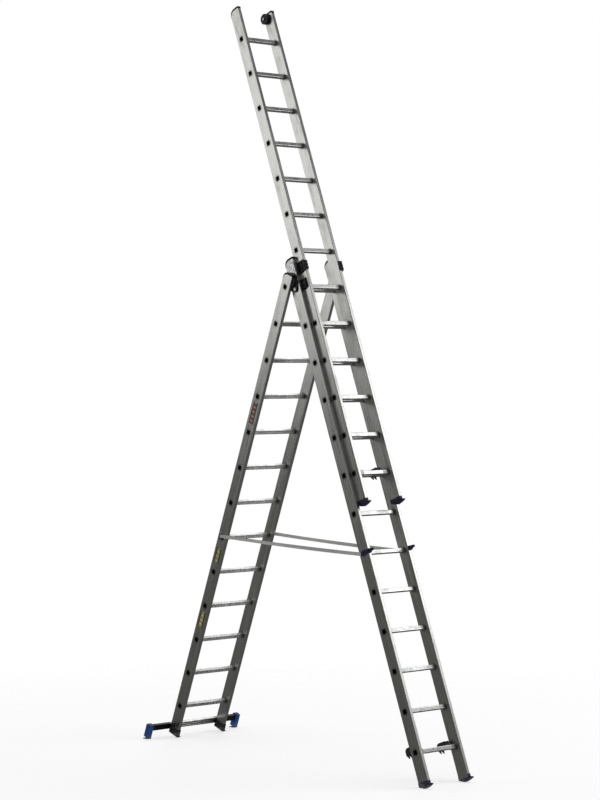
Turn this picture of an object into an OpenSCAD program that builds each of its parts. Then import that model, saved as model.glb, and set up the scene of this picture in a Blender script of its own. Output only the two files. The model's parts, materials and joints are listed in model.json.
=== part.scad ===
// Three-section aluminium extension ladder, standing as a trestle with its upper section run out.
// Millimetres, +Z up. The rungs run along X, the front section leans from -Y and the rear one from +Y.

/* [Sections] */
// Distance between neighbouring rungs along a section
rung_pitch = 280; // [260:5:290]
// Number of rungs in each section
rung_count = 13; // [11:1:13]
// Width of the rear section over its stiles
rear_w = 460; // [440:2:480]
// Lean of each section from upright
lean = 21.6; // [20:0.1:23]
// Index from the top of the front rung that carries the upper section
hook_rung = 5; // [4:1:6]
// Index from the top of the rungs that the straps join
strap_rung = 7; // [6:1:9]

/* [Stiles] */
// Depth of a stile, from its front to its rear face
stile_d = 97; // [90:1:98]
// Width of a stile across its flange
stile_t = 25; // [24:0.5:27]
// Wall thickness of a stile
stile_wall = 1.8; // [1.5:0.1:2.5]
// Side gap between the rear and the front stiles
side_gap = 8; // [8:0.5:10]
// Length of the rear stiles above their top rung
rear_top = 78; // [72:1:90]
// Length of the front stiles above their top rung
front_top = 220; // [216:1:236]
// Length of the upper stiles above their top rung
upper_top = 234; // [230:1:246]

/* [Rungs] */
// Side of the square rung tube
rung_s = 30; // [29:0.5:31]
// Wall thickness of a rung
rung_wall = 2; // [1.5:0.1:2.5]

/* [Feet and stabiliser] */
// Distance from the last front rung to the sole
front_foot = 247; // [235:1:255]
// Distance from the last upper rung to the sole
upper_foot = 240; // [230:1:250]
// How far a foot's toe stands forward of its stile
toe = 28; // [20:1:34]
// Length of the stabiliser over its boots
stabiliser_w = 870; // [800:5:1000]
// Height of the stabiliser bar
bar_h = 45; // [40:1:50]
// Depth of the stabiliser bar
bar_d = 28; // [25:1:30]

/* [Wall rollers] */
// Radius of a wall roller
roller_r = 40; // [34:1:44]
// Width of a wall roller
roller_w = 22; // [18:1:24]

/* [Hidden] */
// Clearances
run_gap = 0.05;      // radial clearance of a turning pin
slide_gap = 2.3;     // clearance beside the sliding section
nest_gap = 1;        // side gap where the upper stiles run between the front ones
eps = 1;             // overshoot of a cutting tool

// Section planes, measured from the hinge axis, which is the front section's top rung
rear_y = 83;
upper_y = -75;
rear_z = -13;
upper_drop = 10;
last_rung = rung_count - 1;
upper_z = rung_pitch * (last_rung - hook_rung) - upper_drop;

// Outer half widths of the sections
rear_x = rear_w / 2;
front_x = rear_x - stile_t - side_gap;
upper_x = front_x - stile_t - nest_gap;

// Stile ends along each section
foot_socket = 26;    // height of the stile's end above the sole
front_sole = -rung_pitch * last_rung - front_foot;
upper_sole = upper_z - rung_pitch * last_rung - upper_foot;
rear_last = rear_z - rung_pitch * last_rung;
rear_end = rear_last - 232;
cap_t = 14;          // height of an end cap over the stile's rounded top
cap_proud = 0.8;
cap_side = 0.3;
cap_rear_r = 45;
cap_front_r = 8;

// Height of the hinge axis over the floor, and the axis' place along Y
hinge_h = -front_sole * cos(lean);
bar_y = rear_y + stile_d / 2 + bar_d / 2;
bar_z = rear_last - 200;
boot_d = 53;
boot_w = 40;
boot_x = stabiliser_w / 2 - boot_w / 2;
boot_top = bar_z + bar_h / 2 + 5;
boot_low = -(hinge_h + (bar_y - boot_d / 2) * sin(lean)) / cos(lean) + 5;
sole_proud = 1;
toe_y = -stile_d / 2 - toe;
toe_z = 14;
front_reach = -toe_y * cos(lean) - (front_sole + toe_z) * sin(lean);
sole_y = bar_y + boot_d / 2 + sole_proud;
rear_reach = sole_y * cos(lean) + (hinge_h + sole_y * sin(lean)) / cos(lean) * sin(lean);
axis_y = (front_reach - rear_reach) / 2;

// Fastenings
pin_r = 8;
plate_t = 4;
flare_t = 1.5;
flare = 2;
bead_t = 2.5;
hook_t = 5;
hook_step = 27;
hook_pin_r = 5;
hook_y = 24;
hook_z = 24;
hook_boss = 11;
front_hook_x = front_x - stile_t - 14.5;    // inner face of the outer hook plate
upper_hook_x = upper_x - stile_t - 32.5;
axle_r = 6;
axle_y = 22;
axle_z = 208;
spacer_t = 4.5;
roller_x = upper_x - stile_t - 5 - roller_w;    // inner face of a roller
strap_w = 25;
strap_t = 1.6;
guide_low = 98;
guide_high = 178;
guide_mid = (guide_low + guide_high) / 2;
guide_t = 2.5;
plate_w = 84;
plate_low = 118;
plate_high = 202;
plate_mid = (plate_low + plate_high) / 2;
plate_rivets = [plate_mid - 28, plate_mid + 28];
block_low = -20;
block_h = 70;
bracket_top = 68;
bracket_rivets = [-24, bracket_top - 14];
shoe_t = 8;
bolt_r = 4;
bolt_gap = 0.3;
bolt_x = rear_x - stile_t / 2;

// Straps: from the front clip's rear edge to the rear stile, about the hinge axis
strap_z = -rung_pitch * strap_rung;
strap_low = [front_x + 3.8, 27 * cos(lean) + strap_z * sin(lean), strap_z * cos(lean) - 27 * sin(lean)];
strap_end_y = rear_y + 28;
strap_high = [
    rear_x + 3.8,
    strap_end_y * cos(lean) - (strap_z + rear_z) * sin(lean),
    strap_end_y * sin(lean) + (strap_z + rear_z) * cos(lean)];
strap_run = strap_high - strap_low;
strap_l = norm(strap_run);

// ---- Outlines ----

// Points on an arc
function arc(cx, cy, r, from, to, n) =
    [for (i = [0:n]) let (a = from + (to - from) * i / n) [cx + r * cos(a), cy + r * sin(a)]];

// Rectangle about the origin with rounded corners
function rounded(w, d, r, n = 3) = concat(
    arc(w / 2 - r, d / 2 - r, r, 0, 90, n), arc(r - w / 2, d / 2 - r, r, 90, 180, n),
    arc(r - w / 2, r - d / 2, r, 180, 270, n), arc(w / 2 - r, r - d / 2, r, 270, 360, n));

// Row of shallow grooves as (place, depth) pairs
function grooves(count, step, w, depth) = [
    for (i = [0:count - 1])
        let (u = (i - (count - 1) / 2) * step)
        each [[u - w / 2, 0], [u - w / 4, depth], [u + w / 4, depth], [u + w / 2, 0]]];

// Rung section: grooved on the tread and on the front
function rung_outline(s, r = 4) = let (h = s / 2) concat(
    arc(h - r, h - r, r, 0, 90, 3), [for (p = grooves(4, 5.2, 3, 1)) [-p[0], h - p[1]]],
    arc(r - h, h - r, r, 90, 180, 3), [for (p = grooves(2, 8, 3, 0.6)) [p[1] - h, -p[0]]],
    arc(r - h, r - h, r, 180, 270, 3), arc(h - r, r - h, r, 270, 360, 3));

// Stabiliser section: two grooves along its front
function bar_outline() = let (h = bar_h / 2, d = bar_d / 2, r = 4) concat(
    arc(d - r, h - r, r, 0, 90, 3), arc(r - d, h - r, r, 90, 180, 3),
    [for (p = grooves(2, 15, 6, 2)) [p[1] - d, -p[0]]],
    arc(r - d, r - h, r, 180, 270, 3), arc(d - r, r - h, r, 270, 360, 3));

// Curve over a stile's top, from its front face to its rear face, at a distance outside it
function top_curve(out) = concat(
    arc(cap_front_r - stile_d / 2, -cap_front_r, cap_front_r + out, 180, 90, 4),
    arc(stile_d / 2 - cap_rear_r, -cap_rear_r, cap_rear_r + out, 90, 0, 8));

// Closed outline with one hole
module ring(outer, inner)
    polygon(concat(outer, inner), paths = [
        [for (i = [0:len(outer) - 1]) i], [for (i = [0:len(inner) - 1]) len(outer) + i]]);

// Extrudes a (Y, Z) outline along X
module across(x, w) translate([x, 0, 0]) rotate([90, 0, 90]) linear_extrude(w) children();

// Straight round bar along X
module round_x(x, w, r) translate([x, 0, 0]) rotate([0, 90, 0]) cylinder(h = w, r = r, $fn = 48);

// Straight round bar along Y
module round_y(y, w, r, sides = 32) translate([0, y, 0]) rotate([-90, 0, 0]) cylinder(h = w, r = r, $fn = sides);

// ---- Frames: each section is drawn upright about the hinge axis ----

module front_frame() translate([0, axis_y, hinge_h]) rotate([-lean, 0, 0]) children();
module rear_frame() translate([0, axis_y, hinge_h]) rotate([lean, 0, 0]) translate([0, rear_y, 0]) children();
module upper_frame() front_frame() translate([0, upper_y, 0]) children();

// Draws for +X on the right and mirrored on the left
module on_side(side) mirror([side < 0 ? 1 : 0, 0, 0]) children();

// ---- Shared pieces ----

// Hollow stile with its rung holes and a rounded top
module stile(out_x, first_z, top_z, low_z) difference() {
    translate([out_x - stile_t / 2, 0, low_z]) linear_extrude(top_z - low_z)
        ring(rounded(stile_t, stile_d, 3), rounded(stile_t - 2 * stile_wall, stile_d - 2 * stile_wall, 1.5));
    across(out_x - stile_t - eps, stile_t + 2 * eps) translate([0, top_z]) top_waste();
    for (i = [0:last_rung])
        across(out_x - stile_t - eps, stile_t + 2 * eps)
            translate([0, first_z - rung_pitch * i]) polygon(rounded(rung_s, rung_s, 4));
}

// The corners that the rounded top takes off a stile
module top_waste() polygon(concat(
    top_curve(0), [[stile_d / 2 + eps, -cap_rear_r], [stile_d / 2 + eps, eps],
    [-stile_d / 2 - eps, eps], [-stile_d / 2 - eps, -cap_front_r]]));

// End cap that follows the rounded top
module cap(out_x, top_z)
    across(out_x - stile_t - cap_side, stile_t + 2 * cap_side) translate([0, top_z])
        polygon(concat([for (p = top_curve(cap_proud)) [p[0], p[1] + cap_t]], reverse(top_curve(0))));

function reverse(list) = [for (i = [len(list) - 1:-1:0]) list[i]];

// All rungs of a section, swaged over the stiles' outer and inner faces
module rungs(out_x, first_z) for (i = [0:last_rung]) translate([0, 0, first_z - rung_pitch * i]) rung(out_x);

module rung(out_x) union() {
    bore = rounded(rung_s - 2 * rung_wall, rung_s - 2 * rung_wall, 2, 2);
    across(-out_x, 2 * out_x) ring(rung_outline(rung_s), bore);
    for (side = [-1, 1]) on_side(side) {
        across(out_x, flare_t) ring(rounded(rung_s + 2 * flare, rung_s + 2 * flare, 5, 2), bore);
        across(out_x - stile_t - bead_t, bead_t)
            ring(rounded(rung_s + 3, rung_s + 3, 5, 2), rounded(rung_s - 2, rung_s - 2, 3, 1));
    }
}

// Foot plug: a cup round the stile's end, a level sole when the section leans, and a toe.
// The skins are its thickness on the stile's outer and inner sides.
module foot(out_x, sole_z, skin_out, skin_in, toe_inset) {
    rise = tan(lean);
    heel = stile_d / 2 + 0.8;
    front = -stile_d / 2 - 1.5;
    wrap = foot_socket + 22;
    translate([0, 0, sole_z]) difference() {
        across(out_x - stile_t - skin_in, stile_t + skin_in + skin_out) polygon(concat(
            [[heel, wrap], [front, wrap], [front, foot_socket + 2], [toe_y + 3, toe_z + 7], [toe_y, toe_z + 3]],
            [for (i = [0:6]) let (t = i / 6, y = toe_y * (1 - t)) [y, toe_z * pow(1 - t, 1.6) + 0.02 * y * t]],
            [[heel, heel * rise]]));
        translate([out_x - stile_t, -stile_d / 2, foot_socket]) cube([stile_t, stile_d, wrap]);
        translate([out_x - stile_t - 2, toe_y - eps, -eps])
            cube([toe_inset + 2, -stile_d / 2 - 0.5 - toe_y + eps, wrap + 2 * eps]);
    }
    translate([out_x - stile_t / 2, 0, sole_z + foot_socket - eps]) linear_extrude(20)
        polygon(rounded(stile_t - 2 * stile_wall - 0.4, stile_d - 2 * stile_wall - 0.4, 1.5));
}

// Steel saddles that hold the hooks on a section's last rung
module hook_saddles(hook_x, z) for (side = [-1, 1]) on_side(side) translate([0, 0, z]) difference() {
    saddle_x = hook_x - hook_step + hook_t + 0.5;
    saddle_w = hook_step - hook_t - 1;
    union() {
        across(saddle_x, saddle_w) polygon(rounded(rung_s + 5, rung_s + 5, 5));
        across(saddle_x, saddle_w) polygon(concat([[10, 10]], arc(hook_y, hook_z, 8, -45, 135, 8)));
    }
    across(hook_x - hook_step, hook_step + hook_t) polygon(rounded(rung_s, rung_s, 4));
    translate([0, hook_y, hook_z]) round_x(hook_x - hook_step, hook_step + hook_t, hook_pin_r);
}

// Pivot pins with a head at each end
module hook_pins(hook_x, z) for (side = [-1, 1]) on_side(side) translate([0, hook_y, z + hook_z]) {
    round_x(hook_x - hook_step - 1, hook_step + hook_t + 2, hook_pin_r);
    round_x(hook_x - hook_step - 3.5, 3, 8);
    round_x(hook_x + hook_t + 0.5, 3, 8);
}

// Section hook: two arched plates and a web, turning on its pin
module hook(hook_x, z, behind) translate([0, 0, z]) difference() {
    union() {
        for (x = [hook_x, hook_x - hook_step]) across(x, hook_t) polygon(hook_outline(behind));
        across(hook_x - hook_step + eps, hook_step)
            translate([behind, 0]) polygon([[-13, 44], [23, 44], [23, 50], [-13, 50]]);
        across(hook_x - hook_step + eps, hook_step)
            translate([behind, 0]) polygon([[29, -4], [39, 4], [39, 22], [29, 22]]);
    }
    translate([0, hook_y, hook_z])
        round_x(hook_x - hook_step - eps, hook_step + hook_t + 2 * eps, hook_pin_r + run_gap);
}

// Boss, arch over the rung that lies behind at that distance, claw with a sloping tip
function hook_outline(behind) = concat(
    arc(hook_y, hook_z, hook_boss, 150, 300, 8), [[44, 27], [behind + 11, 27]],
    arc(behind + 11, 17, 10, 90, 0, 4), [[behind + 21, -20], [behind + 25, -22]], [[behind + 49, 6]],
    arc(behind + 23, 28, 26, 0, 90, 8), [[46, 54]]);

// ---- Front section ----

module front_stile(side) color([0.72, 0.74, 0.72]) front_frame() on_side(side)
    stile(front_x, 0, front_top, front_sole + foot_socket);

module front_rungs() color([0.84, 0.85, 0.85]) front_frame() rungs(front_x, 0);

module front_foot(side) color([0.08, 0.1, 0.2]) front_frame() on_side(side) foot(front_x, front_sole, 1.4, 0, 5.5);

module front_cap(side) color([0.1, 0.1, 0.12]) front_frame() on_side(side) cap(front_x, front_top);

// Light plate riveted to the stile's outer face
module guide_plate(side) color([0.8, 0.81, 0.82]) front_frame() on_side(side) difference() {
    across(front_x, guide_t) translate([0, plate_mid])
        polygon(rounded(plate_w, plate_high - plate_low, 8));
    for (y = [-28, 28]) for (z = plate_rivets)
        translate([0, y, z]) round_x(front_x - eps, guide_t + 2 * eps, 2.5);
}

module guide_rivets() color([0.5, 0.5, 0.52]) front_frame() for (side = [-1, 1]) on_side(side)
    for (y = [-28, 28]) for (z = plate_rivets)
        translate([0, y, z]) {
            round_x(front_x, guide_t, 2.5);
            round_x(front_x + guide_t, 1, 4.5);
        }

// Shoe that the upper stile slides in: a slotted wall and a ribbed lip over its front
module guide_shoe(side) color([0.09, 0.09, 0.1]) front_frame() on_side(side) difference() {
    wall_x = upper_x + slide_gap;
    lip_y = upper_y - stile_d / 2 - 1.8;
    union() {
        translate([wall_x, lip_y, guide_low]) cube([shoe_t, -stile_d / 2 - lip_y, guide_high - guide_low]);
        translate([wall_x, -stile_d / 2 - 18, guide_low])
            cube([front_x + guide_t - wall_x, 18, guide_high - guide_low]);
        translate([upper_x - stile_t + 2, lip_y - 7, guide_low + 5])
            cube([wall_x + shoe_t - upper_x + stile_t - 2, 7 + eps, guide_high - guide_low - 10]);
        for (i = [-1:1])
            translate([upper_x - stile_t + 4, lip_y - 14, guide_mid + 22 * i - 4]) cube([stile_t + 2, 8, 8]);
    }
    for (i = [-1:1]) for (y = [-66, -90, -114])
        translate([wall_x - eps, y, guide_mid + 22 * i - 7.5]) cube([stile_t, 14, 15]);
}

// Lower block beside the upper stile
module guide_block(side) color([0.1, 0.1, 0.1]) front_frame() on_side(side) difference() {
    wall_x = upper_x + slide_gap;
    union() {
        translate([wall_x, -100, block_low]) cube([10, 100 - stile_d / 2, block_h]);
        translate([wall_x, -stile_d / 2 - 12, block_low]) cube([front_x - wall_x - 1, 12, block_h]);
    }
    for (z = [12, 44]) translate([wall_x + 6, -92, block_low + z]) cube([5, 34, 14]);
}

// Square bush in the end of the top rung
module hinge_bush(side) color([0.2, 0.2, 0.22]) front_frame() on_side(side) difference() {
    across(front_x - 44, 44 + flare_t) polygon(rounded(rung_s - 2 * rung_wall, rung_s - 2 * rung_wall, 2, 2));
    round_x(front_x - 44 - eps, 44 + flare_t + 2 * eps, pin_r + run_gap);
}

module front_hook_saddles() color([0.6, 0.61, 0.63]) front_frame() hook_saddles(front_hook_x, -rung_pitch * last_rung);
module front_hook_pins() color([0.5, 0.5, 0.52]) front_frame() hook_pins(front_hook_x, -rung_pitch * last_rung);
module front_hook(side) color([0.12, 0.12, 0.13]) front_frame() on_side(side)
    hook(front_hook_x, -rung_pitch * last_rung, rear_y);

// ---- Straps ----

// Flat webbing from the front clip to the rear stile
module strap(side) color([0.75, 0.75, 0.74]) on_side(side)
    translate([0, axis_y, hinge_h]) translate(strap_low)
        rotate([asin(strap_run[2] / strap_l), 0, -atan2(strap_run[0], strap_run[1])])
            translate([-strap_t / 2, 0, -strap_w / 2]) cube([strap_t, strap_l, strap_w]);

// Clip over the front flange with a tongue that stands forward
module strap_clip(side) color([0.07, 0.08, 0.18]) front_frame() on_side(side) translate([0, 0, strap_z]) {
    face = front_x + flare_t + 0.2;
    translate([face, -stile_d / 2 - 12, -15]) cube([5, stile_d / 2 + 38, 30]);
    translate([front_x - 18, -stile_d / 2 - 12, -15]) cube([25, 12, 30]);
    across(front_x - 14, 16) polygon(concat(
        [[-stile_d / 2 - 11, -12], [-stile_d / 2 - 11, 12]], arc(-stile_d / 2 - 40, 3, 8, 90, 270, 6)));
}

// Bridges that hold the straps to the rear stiles
module strap_anchors() color([0.55, 0.56, 0.58]) rear_frame() for (side = [-1, 1]) on_side(side)
    translate([rear_x, strap_end_y - rear_y - 8, strap_z + rear_z]) difference() {
        translate([0, 0, -26]) cube([8, 16, 52]);
        translate([-eps, -eps, -20]) cube([6.6, 18, 40]);
    }

// ---- Rear section ----

module rear_stile(side) color([0.66, 0.68, 0.66]) rear_frame() on_side(side) difference() {
    stile(rear_x, rear_z, rear_top, rear_end);
    translate([bolt_x, 0, bar_z]) round_y(stile_d / 2 - 4, 8, bolt_r + bolt_gap);
}

module rear_rungs() color([0.84, 0.85, 0.85]) rear_frame() rungs(rear_x, rear_z);
module rear_cap(side) color([0.1, 0.1, 0.12]) rear_frame() on_side(side) cap(rear_x, rear_top);

// Black shoe on the stile's end, open behind for the stabiliser
module rear_plug(side) color([0.08, 0.08, 0.09]) rear_frame() on_side(side) difference() {
    heel = stile_d / 2;
    across(rear_x - stile_t - 2.4, stile_t + 4.8) polygon([
        [heel, rear_end + 50], [-heel - 2.5, rear_end + 50], [-heel - 2.5, rear_end + 4], [-heel - 14, rear_end - 2],
        [-heel - 12, rear_end - 7], [-heel + 6, rear_end - 9], [heel, rear_end - 14]]);
    translate([rear_x - stile_t, -heel, rear_end]) cube([stile_t, stile_d + eps, 60]);
}

// Plate inside the stile's front edge that reaches to the axis, with upright ribs outside it
module hinge_bracket(side) color([0.1, 0.1, 0.11]) rear_frame() on_side(side) difference() {
    plate_x = rear_x - stile_t - plate_t;
    union() {
        across(plate_x, plate_t) polygon(concat(
            arc(-rear_y, 0, 20, 170, 280, 10), [[-stile_d / 2 + 18, -34],
            [-stile_d / 2 + 18, bracket_top], [-rear_y + 2, bracket_top]]));
        for (y = [-rear_y + 14, -rear_y + 27]) translate([plate_x + eps, y, 17]) cube([22, 5, bracket_top - 20]);
        translate([plate_x + eps, -rear_y + 14, bracket_top - 11]) cube([22, rear_y - 14 - stile_d / 2, 8]);
        translate([plate_x + eps, -rear_y + 14, 17]) cube([22, rear_y - 14 - stile_d / 2, 8]);
    }
    translate([0, -rear_y, 0]) round_x(plate_x - eps, plate_t + 2 * eps, pin_r);
    for (z = bracket_rivets) translate([0, -stile_d / 2 + 9, z]) round_x(plate_x - eps, plate_t + 2 * eps, 3);
}

module hinge_rivets() color([0.5, 0.5, 0.52]) rear_frame() for (side = [-1, 1]) on_side(side)
    for (z = bracket_rivets) translate([0, -stile_d / 2 + 9, z]) {
        round_x(rear_x - stile_t - plate_t, plate_t, 3);
        round_x(rear_x - stile_t - plate_t - 1, 1, 5);
    }

module hinge_pin(side) color([0.55, 0.56, 0.58]) rear_frame() on_side(side) translate([0, -rear_y, 0]) {
    round_x(front_x - 40, rear_x - stile_t - front_x + 40, pin_r);
    round_x(rear_x - stile_t, 5, 12);
}

module stabiliser_bar() color([0.7, 0.71, 0.71]) rear_frame() difference() {
    across(4 - stabiliser_w / 2, stabiliser_w - 8) translate([bar_y - rear_y, bar_z])
        ring(bar_outline(), rounded(bar_d - 8, bar_h - 5, 2));
    for (side = [-1, 1]) on_side(side)
        translate([bolt_x, 0, bar_z]) round_y(stile_d / 2 - eps, bar_d + 2 * eps, bolt_r + bolt_gap);
}

module stabiliser_bolts() color([0.45, 0.45, 0.47]) rear_frame() for (side = [-1, 1]) on_side(side)
    translate([bolt_x, 0, bar_z]) {
        round_y(stile_d / 2 - 8, bar_d + 8, bolt_r);
        round_y(stile_d / 2 + bar_d, 5, 7, 6);
        round_y(stile_d / 2 - stile_wall - 5, 5, 7, 6);
    }

// Plan of a boot, and its side view cut to a sloping top
module boot_block(grow, low, high) translate([boot_x, bar_y - rear_y, low])
    linear_extrude(high - low) polygon(rounded(boot_w + 2 * grow, boot_d + 2 * grow, 8, 5));

module stabiliser_boot(side) color([0.02, 0.22, 0.55]) rear_frame() on_side(side) difference() {
    intersection() {
        boot_block(0, boot_low, boot_top);
        across(boot_x - boot_w, 2 * boot_w) translate([bar_y - rear_y, 0]) polygon(concat(
            [[boot_d / 2, boot_low], [boot_d / 2, boot_top - 12]], arc(boot_d / 2 - 12, boot_top - 12, 12, 0, 90, 5),
            arc(12 - boot_d / 2, boot_top - 12, 12, 90, 180, 5), [[-boot_d / 2, boot_low]]));
    }
    across(boot_x - boot_w / 2 - eps, boot_w - 4 + eps) translate([bar_y - rear_y, bar_z])
        polygon(rounded(bar_d, bar_h, 4));
}

// Rubber wedge between the boot and the floor
module stabiliser_sole(side) color([0.05, 0.05, 0.05]) rear_frame() on_side(side) intersection() {
    boot_block(sole_proud, boot_low - 60, boot_low);
    across(boot_x - boot_w, 2 * boot_w) polygon([
        [-boot_d, boot_low], [boot_d, boot_low], for (y = [boot_d, -boot_d]) [y + bar_y - rear_y, floor_z(y + bar_y)]]);
}

// Floor level in the rear section's own frame
function floor_z(y) = -(hinge_h + y * sin(lean)) / cos(lean);

// Plain stickers on the left stile's outer face
module stickers() color([0.75, 0.75, 0.15]) rear_frame() on_side(-1) for (s = [[3.46, 50, 170], [7.52, 58, 115], [9.4, 58, 125]])
    across(rear_x, 0.4) translate([0, rear_z - rung_pitch * s[0]]) polygon(rounded(s[1], s[2], 4));

// ---- Upper section ----

module upper_stile(side) color([0.74, 0.76, 0.74]) upper_frame() on_side(side) difference() {
    stile(upper_x, upper_z, upper_z + upper_top, upper_sole + foot_socket);
    translate([0, axle_y, upper_z + axle_z]) round_x(upper_x - stile_t - eps, stile_t + 2 * eps, axle_r);
}

module upper_rungs() color([0.84, 0.85, 0.85]) upper_frame() rungs(upper_x, upper_z);
module upper_cap(side) color([0.1, 0.1, 0.12]) upper_frame() on_side(side) cap(upper_x, upper_z + upper_top);
module upper_foot_plug(side) color([0.08, 0.1, 0.2]) upper_frame() on_side(side) foot(upper_x, upper_sole, 0.6, 1.4, 0);

module roller_axles() color([0.5, 0.51, 0.53]) upper_frame() for (side = [-1, 1]) on_side(side)
    translate([0, axle_y, upper_z + axle_z]) {
        round_x(roller_x - 3, upper_x - roller_x + 3.3, axle_r);
        round_x(roller_x - 7, 5, 10);
    }

module roller_spacers() color([0.3, 0.3, 0.32]) upper_frame() for (side = [-1, 1]) on_side(side)
    translate([0, axle_y, upper_z + axle_z]) difference() {
        round_x(upper_x - stile_t - spacer_t, spacer_t, 10.5);
        round_x(upper_x - stile_t - spacer_t - eps, spacer_t + 2 * eps, axle_r);
    }

// Roller with rounded rims and a recess in each face
module roller(side) color([0.06, 0.07, 0.16]) upper_frame() on_side(side)
    translate([roller_x, axle_y, upper_z + axle_z]) rotate([0, 90, 0]) rotate_extrude($fn = 96) polygon(concat(
        [[axle_r + run_gap, 0], [14, 0], [17, 3], [roller_r - 9, 3], [roller_r - 7, 0]],
        arc(roller_r - 4, 4, 4, -90, 0, 4), arc(roller_r - 4, roller_w - 4, 4, 0, 90, 4),
        [[roller_r - 7, roller_w], [roller_r - 9, roller_w - 3], [17, roller_w - 3], [14, roller_w],
        [axle_r + run_gap, roller_w]]));

module upper_hook_saddles() color([0.6, 0.61, 0.63]) upper_frame()
    hook_saddles(upper_hook_x, upper_z - rung_pitch * last_rung);
module upper_hook_pins() color([0.5, 0.5, 0.52]) upper_frame() hook_pins(upper_hook_x, upper_z - rung_pitch * last_rung);
module upper_hook(side) color([0.12, 0.12, 0.13]) upper_frame() on_side(side)
    hook(upper_hook_x, upper_z - rung_pitch * last_rung, -upper_y);

front_stile(-1);  // front_stile_left
front_stile(1);  // front_stile_right
front_rungs();
front_foot(-1);  // front_foot_left
front_foot(1);  // front_foot_right
front_cap(-1);  // front_cap_left
front_cap(1);  // front_cap_right
guide_plate(-1);  // guide_plate_left
guide_plate(1);  // guide_plate_right
guide_shoe(-1);  // guide_shoe_left
guide_shoe(1);  // guide_shoe_right
guide_block(-1);  // guide_block_left
guide_block(1);  // guide_block_right
guide_rivets();
hinge_bush(-1);  // hinge_bush_left
hinge_bush(1);  // hinge_bush_right
front_hook_saddles();
front_hook_pins();
front_hook(-1);  // front_hook_left
front_hook(1);  // front_hook_right
strap(-1);  // strap_left
strap(1);  // strap_right
strap_clip(-1);  // strap_clip_left
strap_clip(1);  // strap_clip_right
rear_stile(-1);  // rear_stile_left
rear_stile(1);  // rear_stile_right
rear_rungs();
rear_cap(-1);  // rear_cap_left
rear_cap(1);  // rear_cap_right
rear_plug(-1);  // rear_plug_left
rear_plug(1);  // rear_plug_right
hinge_bracket(-1);  // hinge_bracket_left
hinge_bracket(1);  // hinge_bracket_right
hinge_pin(-1);  // hinge_pin_left
hinge_pin(1);  // hinge_pin_right
hinge_rivets();
strap_anchors();
stabiliser_bar();
stabiliser_boot(-1);  // stabiliser_boot_left
stabiliser_boot(1);  // stabiliser_boot_right
stabiliser_sole(-1);  // stabiliser_sole_left
stabiliser_sole(1);  // stabiliser_sole_right
stabiliser_bolts();
stickers();
upper_stile(-1);  // upper_stile_left
upper_stile(1);  // upper_stile_right
upper_rungs();
upper_cap(-1);  // upper_cap_left
upper_cap(1);  // upper_cap_right
upper_foot_plug(-1);  // upper_foot_left
upper_foot_plug(1);  // upper_foot_right
roller_axles();
roller_spacers();
roller(-1);  // roller_left
roller(1);  // roller_right
upper_hook_saddles();
upper_hook_pins();
upper_hook(-1);  // upper_hook_left
upper_hook(1);  // upper_hook_right
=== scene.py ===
"""Three-section aluminium ladder: camera, studio light, finishes, moulded parts and webbing straps."""
import json
import math

import bmesh
import bpy
from mathutils import Matrix, Vector


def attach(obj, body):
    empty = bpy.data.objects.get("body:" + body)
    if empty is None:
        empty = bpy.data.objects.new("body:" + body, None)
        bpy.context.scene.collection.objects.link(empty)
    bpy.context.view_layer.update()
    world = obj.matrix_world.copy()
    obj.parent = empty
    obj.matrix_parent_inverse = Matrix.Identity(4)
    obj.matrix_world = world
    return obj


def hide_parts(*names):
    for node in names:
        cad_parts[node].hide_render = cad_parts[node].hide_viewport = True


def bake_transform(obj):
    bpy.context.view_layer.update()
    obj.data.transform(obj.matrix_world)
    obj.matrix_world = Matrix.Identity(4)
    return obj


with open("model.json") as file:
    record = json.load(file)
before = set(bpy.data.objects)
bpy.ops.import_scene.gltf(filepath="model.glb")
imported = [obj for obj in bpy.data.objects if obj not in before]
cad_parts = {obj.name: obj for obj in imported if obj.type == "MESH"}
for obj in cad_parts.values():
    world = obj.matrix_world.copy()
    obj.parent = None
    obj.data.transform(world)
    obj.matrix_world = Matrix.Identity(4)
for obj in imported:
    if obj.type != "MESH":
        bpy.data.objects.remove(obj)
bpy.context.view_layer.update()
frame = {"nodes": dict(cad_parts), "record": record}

nodes = frame["nodes"]
record_joints = {joint["name"]: joint for joint in frame["record"]["behaviour"]["joints"]}

# Lean of the front section, and the hinge axis, which is its top rung
slide_axis = record_joints["section_slide"]["axis"]
LEAN = math.atan2(slide_axis[1], slide_axis[2])
HINGE = Vector(record_joints["fold"]["pos_m"])
RUNG_PITCH = 0.28
REAR_TOP_RUNG = (0.083, -0.013)
UPPER_TOP_RUNG = (-0.075, 1.95)
STILE_THICKNESS = 0.025
STRAP_WIDTH = 0.025
STRAP_THICKNESS = 0.0015
STRAP_SAG = 0.007
STRAP_TURN = 0.22
STITCHES_ALONG = 8
STITCHES_ACROSS = 5


# ---- Camera ----

def look(position, azimuth, elevation, roll):
    """Matrix of a camera at a place, for an azimuth from +Y towards -X, in degrees."""
    turn = Matrix.Rotation(math.radians(azimuth), 4, "Z")
    tilt = Matrix.Rotation(math.radians(90 + elevation), 4, "X")
    return Matrix.Translation(position) @ turn @ tilt @ Matrix.Rotation(math.radians(roll), 4, "Z")


CAMERA_PLACE = Vector((-10.441, -12.208, 2.826))
CAMERA_LENS = 100.96
CAMERA_SENSOR = 36

camera_data = bpy.data.cameras.new("camera")
camera_data.sensor_width = CAMERA_SENSOR
camera_data.lens = CAMERA_LENS
camera = bpy.data.objects.new("camera", camera_data)
camera.matrix_world = look(CAMERA_PLACE, azimuth=-40.243, elevation=-0.922, roll=0.01)
bpy.context.scene.collection.objects.link(camera)
bpy.context.scene.camera = camera


# ---- Light and floor ----

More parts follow.
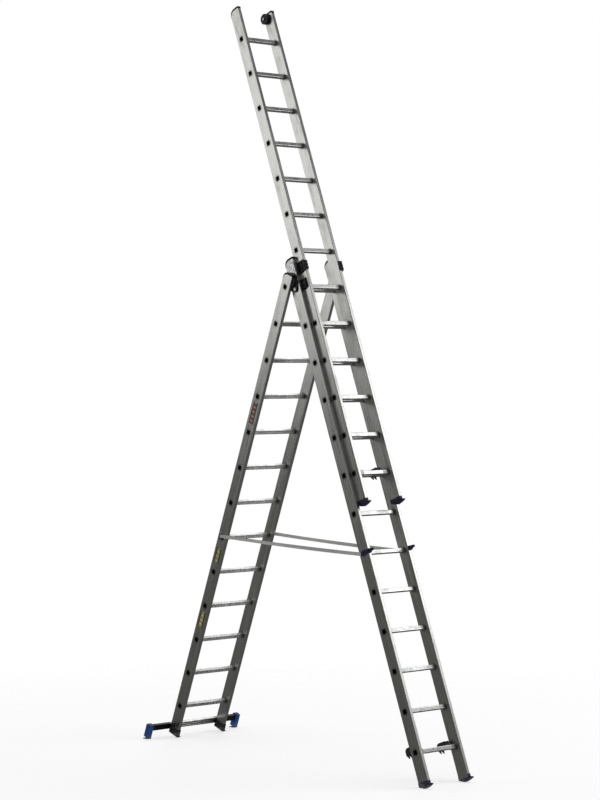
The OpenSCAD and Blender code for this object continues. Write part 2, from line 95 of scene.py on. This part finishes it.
def softbox(name, position, target, width, height, watts):
    """Rectangular area light that faces a target."""
    data = bpy.data.lights.new(name, "AREA")
    data.shape = "RECTANGLE"
    data.size = width
    data.size_y = height
    data.energy = watts
    lamp = bpy.data.objects.new(name, data)
    aim = (Vector(target) - Vector(position)).to_track_quat("-Z", "Y")
    lamp.matrix_world = Matrix.Translation(position) @ aim.to_matrix().to_4x4()
    bpy.context.scene.collection.objects.link(lamp)


softbox("side_softbox", (-6.4, 6.6, 5.6), (0, 0, 5.0), 6.0, 5.0, 88)
softbox("front_softbox", (6.2, -5.6, 6.0), (0, 0, 1.8), 5.0, 4.2, 118)
softbox("back_softbox", (6.0, 6.0, 6.5), (0, 0, 2.2), 4.0, 4.0, 60)
softbox("top_softbox", (0, 0, 10.5), (0, 0, 0), 5.0, 5.0, 80)


# Brightness of the room that the metal reflects, from the floor (0) through the horizon (0.5) to overhead (1)
ROOM_LOW = (0.44, (0.092, 0.090, 0.087, 1))
ROOM_HIGH = (0.82, (0.085, 0.085, 0.085, 1))
ROOM_OVERHEAD = (0.95, (0.45, 0.45, 0.46, 1))


def studio_world():
    """White backdrop for the camera, and a dim room for reflections."""
    world = bpy.data.worlds.new("studio")
    world.use_nodes = True
    tree = world.node_tree
    tree.nodes.clear()
    coords = tree.nodes.new("ShaderNodeTexCoord")
    split = tree.nodes.new("ShaderNodeSeparateXYZ")
    ramp = tree.nodes.new("ShaderNodeValToRGB")
    room = tree.nodes.new("ShaderNodeBackground")
    backdrop = tree.nodes.new("ShaderNodeBackground")
    path = tree.nodes.new("ShaderNodeLightPath")
    mix = tree.nodes.new("ShaderNodeMixShader")
    output = tree.nodes.new("ShaderNodeOutputWorld")
    height = tree.nodes.new("ShaderNodeMath")
    height.operation = "MULTIPLY_ADD"
    height.inputs[1].default_value = 0.5
    height.inputs[2].default_value = 0.5
    for stop, (position, color) in zip(ramp.color_ramp.elements, (ROOM_LOW, ROOM_HIGH)):
        stop.position = position
        stop.color = color
    overhead = ramp.color_ramp.elements.new(ROOM_OVERHEAD[0])
    overhead.color = ROOM_OVERHEAD[1]
    tree.links.new(coords.outputs["Generated"], split.inputs[0])
    tree.links.new(split.outputs["Z"], height.inputs[0])
    tree.links.new(height.outputs[0], ramp.inputs["Fac"])
    tree.links.new(ramp.outputs["Color"], room.inputs["Color"])
    backdrop.inputs["Color"].default_value = (1, 1, 1, 1)
    tree.links.new(path.outputs["Is Camera Ray"], mix.inputs[0])
    tree.links.new(room.outputs[0], mix.inputs[1])
    tree.links.new(backdrop.outputs[0], mix.inputs[2])
    tree.links.new(mix.outputs[0], output.inputs["Surface"])
    bpy.context.scene.world = world
    bpy.context.scene.view_settings.view_transform = "Standard"


studio_world()


# ---- Shader graphs ----

class Graph:
    """A material's node graph, with one method for each kind of step."""

    def __init__(self, name, metallic=0.0, roughness=0.5, **sockets):
        self.material = bpy.data.materials.new(name)
        self.material.use_nodes = True
        self.tree = self.material.node_tree
        self.bsdf = self.tree.nodes["Principled BSDF"]
        self.bsdf.inputs["Metallic"].default_value = metallic
        self.bsdf.inputs["Roughness"].default_value = roughness
        for socket, value in sockets.items():
            self.bsdf.inputs[socket.replace("_", " ")].default_value = value
        self.object_coords = self.tree.nodes.new("ShaderNodeTexCoord").outputs["Object"]

    def put(self, value, socket):
        """Links an output, or sets a constant."""
        if isinstance(value, bpy.types.NodeSocket):
            self.tree.links.new(value, socket)
        else:
            socket.default_value = value

    def mapped(self, scale=(1, 1, 1), turn=(0, 0, 0), shift=(0, 0, 0), vector=None):
        node = self.tree.nodes.new("ShaderNodeMapping")
        node.inputs["Location"].default_value = shift
        node.inputs["Rotation"].default_value = turn
        node.inputs["Scale"].default_value = scale
        self.tree.links.new(vector or self.object_coords, node.inputs["Vector"])
        return node.outputs[0]

    def noise(self, vector, scale=1.0, detail=3.0, rough=0.55):
        node = self.tree.nodes.new("ShaderNodeTexNoise")
        node.inputs["Scale"].default_value = scale
        node.inputs["Detail"].default_value = detail
        node.inputs["Roughness"].default_value = rough
        self.tree.links.new(vector, node.inputs["Vector"])
        return node.outputs["Fac"]

    def cells(self, vector, scale):
        node = self.tree.nodes.new("ShaderNodeTexVoronoi")
        node.inputs["Scale"].default_value = scale
        self.tree.links.new(vector, node.inputs["Vector"])
        return node.outputs["Distance"]

    def bands(self, vector, scale, direction):
        node = self.tree.nodes.new("ShaderNodeTexWave")
        node.bands_direction = direction
        node.inputs["Scale"].default_value = scale
        self.tree.links.new(vector, node.inputs["Vector"])
        return node.outputs["Fac"]

    def ramp(self, value, low, high, low_out=0.0, high_out=1.0):
        node = self.tree.nodes.new("ShaderNodeMapRange")
        node.interpolation_type = "SMOOTHSTEP"
        limits = {"From Min": low, "From Max": high, "To Min": low_out, "To Max": high_out}
        for socket, number in limits.items():
            node.inputs[socket].default_value = number
        self.put(value, node.inputs["Value"])
        return node.outputs["Result"]

    def math(self, operation, *values):
        node = self.tree.nodes.new("ShaderNodeMath")
        node.operation = operation
        for value, socket in zip(values, node.inputs):
            self.put(value, socket)
        return node.outputs[0]

    def split(self, vector):
        node = self.tree.nodes.new("ShaderNodeSeparateXYZ")
        self.tree.links.new(vector, node.inputs[0])
        return node.outputs

    def mix(self, factor, first, second):
        node = self.tree.nodes.new("ShaderNodeMix")
        node.data_type = "RGBA"
        sockets = {socket.identifier: socket for socket in node.inputs}
        self.put(factor, sockets["Factor_Float"])
        for value, name in ((first, "A_Color"), (second, "B_Color")):
            self.put(value if isinstance(value, bpy.types.NodeSocket) else (*value, 1), sockets[name])
        return next(socket for socket in node.outputs if socket.identifier == "Result_Color")

    def bump(self, height, strength, distance=0.001):
        node = self.tree.nodes.new("ShaderNodeBump")
        node.inputs["Strength"].default_value = strength
        node.inputs["Distance"].default_value = distance
        self.tree.links.new(height, node.inputs["Height"])
        self.tree.links.new(node.outputs[0], self.bsdf.inputs["Normal"])

    def finish(self, color, roughness=None):
        self.put(color, self.bsdf.inputs["Base Color"])
        if roughness is not None:
            self.put(roughness, self.bsdf.inputs["Roughness"])
        return self.material


# ---- Metals ----

def section_coords(graph, lean, top_rung):
    """Coordinates along a section: X across, Y through its depth, Z along the stiles from its top rung."""
    down = graph.mapped(shift=tuple(-HINGE))
    along = graph.mapped(turn=(lean, 0, 0), vector=down)
    return graph.mapped(shift=(0, -top_rung[0], -top_rung[1]), vector=along)


def rung_end_shade(graph, along):
    """Mask of painted shade round the rung ends: 1 at the swaged ends of the rungs, fading to 0 about 20 mm
    outside them.
    """
    _, depth, run = graph.split(along)
    turns = graph.math("DIVIDE", run, RUNG_PITCH)
    offset = graph.math("SUBTRACT", turns, graph.math("ROUND", turns))
    distance = graph.math("MULTIPLY", offset, RUNG_PITCH)
    reach = graph.math("SQRT", graph.math("ADD", graph.math("POWER", distance, 2), graph.math("POWER", depth, 2)))
    return graph.ramp(reach, 0.036, 0.019)


def drawn_aluminium(name, lean, top_rung):
    """Extruded stile: die lines along it, faint stains, scratches and painted shade round the rung ends."""
    graph = Graph(name, metallic=1.0)
    along = section_coords(graph, lean, top_rung)
    lines = graph.noise(graph.mapped((900, 900, 2.5), vector=along), 1, 2)
    streaks = graph.noise(graph.mapped((110, 110, 1.6), vector=along), 1, 3)
    stains = graph.noise(graph.mapped((14, 14, 5), vector=along), 1, 5, 0.65)
    scratch = graph.noise(graph.mapped((30, 420, 26), turn=(0.5, 0, 0.2), vector=along), 1, 2)
    end_shade = rung_end_shade(graph, along)
    color = graph.mix(graph.ramp(streaks, 0.3, 0.7), (0.66, 0.67, 0.64), (0.80, 0.81, 0.78))
    color = graph.mix(graph.ramp(stains, 0.52, 0.75, 0, 0.55), color, (0.50, 0.50, 0.46))
    color = graph.mix(graph.ramp(scratch, 0.68, 0.74, 0, 0.5), color, (0.9, 0.9, 0.9))
    # painted shade round the rung ends, darkening the stile face next to the dark open bores
    color = graph.mix(graph.math("MULTIPLY", end_shade, 0.6), color, (0.30, 0.30, 0.29))
    rough = graph.math("ADD", graph.ramp(streaks, 0.3, 0.7, 0.24, 0.36), graph.ramp(stains, 0.4, 0.8, 0, 0.12))
    graph.bump(graph.math("ADD", lines, graph.math("MULTIPLY", streaks, 1.5)), 0.10, 0.0004)
    return graph.finish(color, rough)


def rung_aluminium(name, lean, top_rung, outer_x):
    """Extruded rung: lines along X, polished by shoes in the middle, painted shade round its swaged ends."""
    graph = Graph(name, metallic=1.0)
    along = section_coords(graph, lean, top_rung)
    across = graph.split(along)[0]
    lines = graph.noise(graph.mapped((4, 1100, 1100), vector=along), 1, 2)
    stains = graph.noise(graph.mapped((22, 40, 40), vector=along), 1, 4, 0.6)
    scuffs = graph.noise(graph.mapped((60, 300, 300), turn=(0, 0.4, 0.3), vector=along), 1, 2)
    reach = graph.math("ABSOLUTE", across)
    middle = graph.ramp(reach, 0.15, 0.03)
    color = graph.mix(graph.ramp(lines, 0.3, 0.7), (0.76, 0.77, 0.77), (0.88, 0.89, 0.89))
    color = graph.mix(graph.ramp(stains, 0.5, 0.8, 0, 0.3), color, (0.60, 0.60, 0.58))
    rubbed = graph.math("MULTIPLY", middle, graph.ramp(scuffs, 0.58, 0.75, 0, 0.4))
    color = graph.mix(rubbed, color, (0.93, 0.93, 0.93))
    inner_x = outer_x - STILE_THICKNESS
    # painted shade on the rung next to the stile's inner face, where the stile shades the joint
    corner_shade = graph.ramp(reach, inner_x - 0.022, inner_x - 0.004, 0, 0.75)
    color = graph.mix(corner_shade, color, (0.16, 0.16, 0.155))
    # painted shade on the rung's flared end outside the stile's outer face, standing in for the dark open bore
    color = graph.mix(graph.ramp(reach, outer_x, outer_x + 0.0006), color, (0.05, 0.05, 0.048))
    rough = graph.math("SUBTRACT", graph.ramp(stains, 0.3, 0.8, 0.30, 0.46), graph.math("MULTIPLY", middle, 0.08))
    graph.bump(lines, 0.05, 0.0002)
    return graph.finish(color, rough)


def plate_aluminium():
    """Rolled plate with a satin surface and rubbed spots."""
    graph = Graph("plate_aluminium_finish", metallic=1.0)
    lines = graph.noise(graph.mapped((200, 900, 60)), 1, 2)
    rubs = graph.noise(graph.mapped((60, 60, 60)), 1, 4)
    color = graph.mix(graph.ramp(rubs, 0.4, 0.7), (0.86, 0.87, 0.88), (0.66, 0.67, 0.68))
    graph.bump(lines, 0.12, 0.0003)
    return graph.finish(color, graph.ramp(rubs, 0.3, 0.7, 0.32, 0.5))


def zinc_steel():
    """Zinc plating: cloudy spangle with dull patches."""
    graph = Graph("zinc_steel_finish", metallic=1.0)
    spangle = graph.cells(graph.mapped((1, 1, 1)), 160)
    clouds = graph.noise(graph.mapped((50, 50, 50)), 1, 4)
    color = graph.mix(graph.ramp(spangle, 0.1, 0.8), (0.62, 0.63, 0.65), (0.46, 0.47, 0.49))
    color = graph.mix(graph.ramp(clouds, 0.5, 0.75, 0, 0.6), color, (0.36, 0.36, 0.37))
    graph.bump(clouds, 0.15, 0.0004)
    return graph.finish(color, graph.ramp(clouds, 0.3, 0.7, 0.28, 0.5))


def black_steel():
    """Powder coat: fine orange peel, with chips to bare metal here and there."""
    graph = Graph("black_steel_finish", metallic=0.0)
    peel = graph.noise(graph.mapped((420, 420, 420)), 1, 2)
    chips = graph.noise(graph.mapped((130, 130, 130)), 1, 5, 0.7)
    bare = graph.ramp(chips, 0.70, 0.73)
    color = graph.mix(graph.ramp(peel, 0.3, 0.7), (0.018, 0.018, 0.020), (0.034, 0.034, 0.037))
    color = graph.mix(bare, color, (0.36, 0.36, 0.37))
    graph.put(bare, graph.bsdf.inputs["Metallic"])
    graph.bump(peel, 0.35, 0.0005)
    return graph.finish(color, graph.ramp(chips, 0.3, 0.7, 0.36, 0.52))


# ---- Plastics, rubber and film ----

def moulded(name, dark, light, worn, gloss=(0.38, 0.58), dust=0.0, grain=500):
    """Moulded plastic: fine grain, uneven tone, scuffs, and dust near the floor."""
    graph = Graph(name)
    texture = graph.noise(graph.mapped((grain, grain, grain)), 1, 2)
    tone = graph.noise(graph.mapped((36, 36, 36)), 1, 4)
    scuffs = graph.noise(graph.mapped((90, 90, 420), turn=(0.3, 0.5, 0)), 1, 3)
    color = graph.mix(graph.ramp(tone, 0.35, 0.7), dark, light)
    color = graph.mix(graph.ramp(scuffs, 0.62, 0.72, 0, 0.7), color, worn)
    if dust:
        height = graph.split(graph.object_coords)[2]
        low = graph.math("MULTIPLY", graph.ramp(height, 0.05, 0.0), graph.ramp(tone, 0.4, 0.7, 0.2, 1.0))
        color = graph.mix(graph.math("MULTIPLY", low, dust), color, (0.33, 0.31, 0.28))
    graph.bump(graph.math("ADD", texture, graph.math("MULTIPLY", scuffs, 0.5)), 0.22, 0.0004)
    return graph.finish(color, graph.ramp(tone, 0.3, 0.7, *gloss))


def sticker_film():
    """Plain printed film: an ochre field with a dark border and pale bars, and a red one at the top."""
    graph = Graph("sticker_film_finish", Coat_Weight=0.3, Coat_Roughness=0.2)
    along = section_coords(graph, -LEAN, REAR_TOP_RUNG)
    _, depth, run = graph.split(along)
    bars = graph.bands(graph.mapped((1, 1, 1), vector=along), 9, "Z")
    wear = graph.noise(graph.mapped((200, 200, 200)), 1, 4)
    upper_one = graph.ramp(run, -1.5, -1.4)
    field = graph.mix(upper_one, (0.40, 0.36, 0.05), (0.33, 0.13, 0.08))
    middle = graph.ramp(graph.math("ABSOLUTE", depth), 0.013, 0.012)
    color = graph.mix(graph.math("MULTIPLY", middle, graph.ramp(bars, 0.70, 0.74)), field, (0.62, 0.62, 0.55))
    border = graph.ramp(graph.math("ABSOLUTE", depth), 0.0155, 0.0165)
    color = graph.mix(border, color, (0.06, 0.06, 0.05))
    color = graph.mix(graph.ramp(wear, 0.6, 0.75, 0, 0.6), color, (0.5, 0.5, 0.46))
    graph.bump(wear, 0.1, 0.0002)
    return graph.finish(color, graph.ramp(wear, 0.3, 0.7, 0.35, 0.5))


def webbing(name):
    """Flat polyester webbing: a herringbone weave of fine cords along the strap."""
    graph = Graph(name, Sheen_Weight=0.25, Sheen_Roughness=0.4)
    mapped = graph.mapped()
    cords = graph.bands(mapped, 70, "Z")
    picks = graph.bands(graph.mapped((1, 1, 1), turn=(0.6, 0, 0), vector=mapped), 95, "Y")
    soil = graph.noise(graph.mapped((30, 9, 30)), 1, 4)
    weave = graph.math("MULTIPLY", graph.math("ADD", cords, picks), 0.5)
    color = graph.mix(graph.ramp(weave, 0.2, 0.8), (0.50, 0.50, 0.49), (0.76, 0.76, 0.75))
    color = graph.mix(graph.ramp(soil, 0.5, 0.75, 0, 0.5), color, (0.40, 0.39, 0.36))
    graph.bump(weave, 0.5, 0.0006)
    return graph.finish(color, graph.ramp(soil, 0.3, 0.7, 0.7, 0.88))


def thread():
    """Sewing thread, a little darker than the webbing."""
    graph = Graph("thread_finish", roughness=0.7)
    ply = graph.bands(graph.mapped((1, 1, 1), turn=(0.5, 0.5, 0)), 500, "Y")
    graph.bump(ply, 0.3, 0.0002)
    return graph.finish(graph.mix(ply, (0.25, 0.25, 0.27), (0.42, 0.42, 0.44)), 0.75)


SIDES = ("left", "right")
FINISHES = {
    "plate_aluminium": plate_aluminium(),
    "zinc_steel": zinc_steel(),
    "black_steel": black_steel(),
    "navy_plastic": moulded("navy_plastic_finish", (0.010, 0.013, 0.042), (0.018, 0.024, 0.075),
                            (0.10, 0.11, 0.15), dust=0.7),
    "black_plastic": moulded("black_plastic_finish", (0.010, 0.010, 0.012), (0.022, 0.022, 0.025),
                             (0.10, 0.10, 0.105)),
    "black_rubber": moulded("black_rubber_finish", (0.012, 0.012, 0.012), (0.024, 0.024, 0.023),
                            (0.07, 0.07, 0.065), gloss=(0.66, 0.85), dust=0.8, grain=300),
    "blue_plastic": moulded("blue_plastic_finish", (0.0015, 0.045, 0.19), (0.003, 0.065, 0.26),
                            (0.06, 0.15, 0.32), gloss=(0.30, 0.48), dust=0.35),
    "roller_plastic": moulded("roller_plastic_finish", (0.007, 0.008, 0.022), (0.014, 0.017, 0.048),
                              (0.07, 0.075, 0.11), gloss=(0.34, 0.5)),
    "sticker_film": sticker_film(),
}
# Lean, top rung and outer half width of each section
SECTIONS = {
    "front": (LEAN, (0, 0), 0.197), "rear": (-LEAN, REAR_TOP_RUNG, 0.230), "upper": (LEAN, UPPER_TOP_RUNG, 0.171)}
for section, (lean, top_rung, outer_x) in SECTIONS.items():
    FINISHES[section + "_stile"] = drawn_aluminium(section + "_stile_finish", lean, top_rung)
    FINISHES[section + "_rung"] = rung_aluminium(section + "_rung_finish", lean, top_rung, outer_x)

SLOT_OF = {part["node"]: part["material_slot"] for part in frame["record"]["subparts"]}
BODY_OF = {node: body for body, held in frame["record"]["behaviour"]["bodies"].items() for node in held}


def finish_for(node):
    slot = SLOT_OF[node]
    section = node.split("_")[0]
    if slot == "stile_aluminium":
        return FINISHES[section + "_stile"]
    if slot == "rung_aluminium":
        return FINISHES[("rear" if section == "stabiliser" else section) + "_rung"]
    return FINISHES.get(slot)


for name, obj in nodes.items():
    finish = finish_for(name)
    if finish is not None:
        for material_slot in obj.material_slots:
            material_slot.material = finish


# ---- Moulded and pressed parts with rounded edges ----

def new_piece(name, mesh, material, body):
    """Links a mesh as a piece that rides on a body."""
    mesh.materials.clear()
    mesh.materials.append(material)
    piece = bpy.data.objects.new(name, mesh)
    bpy.context.scene.collection.objects.link(piece)
    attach(piece, body)
    return piece


def shade_by_angle(bm, degrees):
    """Smooth faces, with sharp edges over an angle."""
    for face in bm.faces:
        face.smooth = True
    for edge in bm.edges:
        edge.smooth = len(edge.link_faces) == 2 and edge.calc_face_angle() < math.radians(degrees)


def rounded_copy(node, radius):
    """Stands for a CAD node: the same solid with its edges rounded."""
    bm = bmesh.new()
    bm.from_mesh(nodes[node].data)
    bmesh.ops.remove_doubles(bm, verts=bm.verts, dist=1e-5)
    bmesh.ops.dissolve_limit(bm, angle_limit=math.radians(1), verts=bm.verts, edges=bm.edges)
    edges = [e for e in bm.edges if len(e.link_faces) == 2 and e.calc_face_angle() > math.radians(38)]
    bmesh.ops.bevel(bm, geom=edges, offset=radius, segments=2, profile=0.5, affect="EDGES",
                    clamp_overlap=True)
    bmesh.ops.triangulate(bm, faces=[face for face in bm.faces if len(face.verts) > 4])
    shade_by_angle(bm, 40)
    mesh = bpy.data.meshes.new(node + "_moulding")
    bm.to_mesh(mesh)
    bm.free()
    piece = new_piece(node + "_moulding", mesh, finish_for(node), BODY_OF[node])
    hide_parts(node)


EDGE_RADIUS = {
    "front_foot": 0.0012, "upper_foot": 0.0012, "front_cap": 0.0005, "rear_cap": 0.0005, "upper_cap": 0.0005,
    "guide_shoe": 0.0008, "guide_block": 0.001, "strap_clip": 0.0012, "rear_plug": 0.001,
    "stabiliser_boot": 0.0015, "stabiliser_sole": 0.0006, "hinge_bracket": 0.0006,
    "front_hook": 0.0008, "upper_hook": 0.0008,
}
for stem, radius in EDGE_RADIUS.items():
    for side in SIDES:
        rounded_copy(f"{stem}_{side}", radius)


# ---- Straps ----

def strap_ends(side):
    """Middle points of a strap's front and rear ends, from the CAD strap."""
    points = [vertex.co for vertex in nodes["strap_" + side].data.vertices]
    low = min(point.y for point in points)
    high = max(point.y for point in points)
    ends = []
    for limit in (low, high):
        near = [point for point in points if abs(point.y - limit) < STRAP_WIDTH]
        ends.append(sum(near, Vector()) / len(near))
    return ends


def strap_frame(side):
    """Start, direction, width direction and outward direction of a strap."""
    start, end = strap_ends(side)
    run = (end - start).normalized()
    out = Vector((-1 if side == "left" else 1, 0, 0))
    out = (out - run * out.dot(run)).normalized()
    return start, end, run, out.cross(run).normalized(), out


def strap_point(side, distance, across, lift):
    """Point on a strap: a little slack lets its middle sag and turn."""
    start, end, run, wide, out = strap_frame(side)
    length = (end - start).length
    share = distance / length
    sag = 4 * share * (1 - share)
    turn = STRAP_TURN * math.sin(2 * math.pi * share) * sag
    middle = start + run * distance - Vector((0, 0, STRAP_SAG)) * sag
    return middle + (wide * math.cos(turn) + out * math.sin(turn)) * across + out * lift


def strap_strip(side, first, last, lift, steps):
    """Closed strip of webbing with rounded selvedges."""
    bm = bmesh.new()
    half = STRAP_WIDTH / 2
    outline = []
    for angle in range(-90, 91, 30):
        edge = half - STRAP_THICKNESS / 2
        swell = STRAP_THICKNESS / 2
        outline.append((edge + swell * math.cos(math.radians(angle)), swell * math.sin(math.radians(angle))))
    outline += [(x, STRAP_THICKNESS / 2) for x in (0.006, 0.0, -0.006)]
    outline += [(-x, -y) for x, y in outline]
    rings = []
    for step in range(steps + 1):
        distance = first + (last - first) * step / steps
        rings.append([bm.verts.new(strap_point(side, distance, x, y + lift)) for x, y in outline])
    for near, far in zip(rings, rings[1:]):
        for i in range(len(outline)):
            j = (i + 1) % len(outline)
            bm.faces.new((near[i], near[j], far[j], far[i]))
    bm.faces.new(rings[0])
    bm.faces.new(reversed(rings[-1]))
    bmesh.ops.recalc_face_normals(bm, faces=bm.faces)
    shade_by_angle(bm, 50)
    return bm


def strap_stitches(side, first, last, lift):
    """Rows of short thread bars in a box at a sewn end."""
    bm = bmesh.new()
    rows = [(first + 0.004, last - 0.004, across) for across in (-0.009, 0.009)]
    for begin, stop, across in rows:
        for i in range(STITCHES_ALONG):
            middle = begin + (stop - begin) * (i + 0.5) / STITCHES_ALONG
            add_stitch(bm, side, middle, across, lift, 0.0)
    for distance in (first + 0.003, last - 0.003):
        for i in range(STITCHES_ACROSS):
            add_stitch(bm, side, distance, -0.0072 + 0.0036 * i, lift, math.pi / 2)
    shade_by_angle(bm, 60)
    return bm


def add_stitch(bm, side, distance, across, lift, turn):
    """One stitch: a bar with round ends, 3 mm long."""
    _, _, run, wide, out = strap_frame(side)
    made = bmesh.ops.create_icosphere(bm, subdivisions=2, radius=0.00035)["verts"]
    along = (run * math.cos(turn) + wide * math.sin(turn)).normalized()
    side_way = out.cross(along)
    middle = strap_point(side, distance, across, lift)
    for vert in made:
        x, y, z = vert.co
        vert.co = middle + along * (x * 4) + side_way * y + out * z


def as_mesh(bm, name):
    mesh = bpy.data.meshes.new(name)
    bm.to_mesh(mesh)
    bm.free()
    return mesh


HEM = 0.055
thread_finish = thread()
webbing_finish = webbing("webbing_finish")
for side in SIDES:
    start, end, run, _, _ = strap_frame(side)
    length = (end - start).length
    mesh = as_mesh(strap_strip(side, 0, length, 0, 150), "strap_webbing_" + side)
    mesh.materials.append(webbing_finish)
    strap = bpy.data.objects.new("strap_webbing_" + side, mesh)
    bpy.context.scene.collection.objects.link(strap)
    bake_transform(strap)
    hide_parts("strap_" + side)
    hems = []
    for place, first, body in (("front", 0.002, "front_section"), ("rear", length - HEM, "rear_section")):
        last = first + HEM - 0.002
        lift = STRAP_THICKNESS
        hem = new_piece(f"strap_{place}_hem_{side}", as_mesh(strap_strip(side, first, last, lift, 10), "hem"),
                        webbing_finish, body)
        sewn = new_piece(f"strap_{place}_stitching_{side}",
                         as_mesh(strap_stitches(side, first, last, lift + STRAP_THICKNESS / 2), "stitching"),
                         thread_finish, body)
        hems += [hem, sewn]


# ---- Floor ----

FLOOR_GLOW = 0.6
FLOOR_RADIUS = 6.0
FLOOR_FADE = (5.8, 1.9)    # radii where the floor is clear and where it is solid


def floor():
    """Pale round floor that fades out into the backdrop."""
    bm = bmesh.new()
    bmesh.ops.create_circle(bm, cap_ends=True, segments=96, radius=FLOOR_RADIUS)
    disc = bpy.data.objects.new("floor", as_mesh(bm, "floor"))
    graph = Graph("floor_finish", roughness=0.8)
    distance = graph.tree.nodes.new("ShaderNodeVectorMath")
    distance.operation = "LENGTH"
    graph.tree.links.new(graph.object_coords, distance.inputs[0])
    clear = graph.ramp(distance.outputs["Value"], *FLOOR_FADE)
    graph.put(clear, graph.bsdf.inputs["Alpha"])
    mottle = graph.noise(graph.mapped((3, 3, 3)), 1, 4)
    graph.bsdf.inputs["Emission Color"].default_value = (1, 1, 1, 1)
    graph.bsdf.inputs["Emission Strength"].default_value = FLOOR_GLOW
    disc.data.materials.append(graph.finish(graph.mix(mottle, (0.86, 0.86, 0.86), (0.90, 0.90, 0.90))))
    disc.visible_glossy = False
    bpy.context.scene.collection.objects.link(disc)


floor()
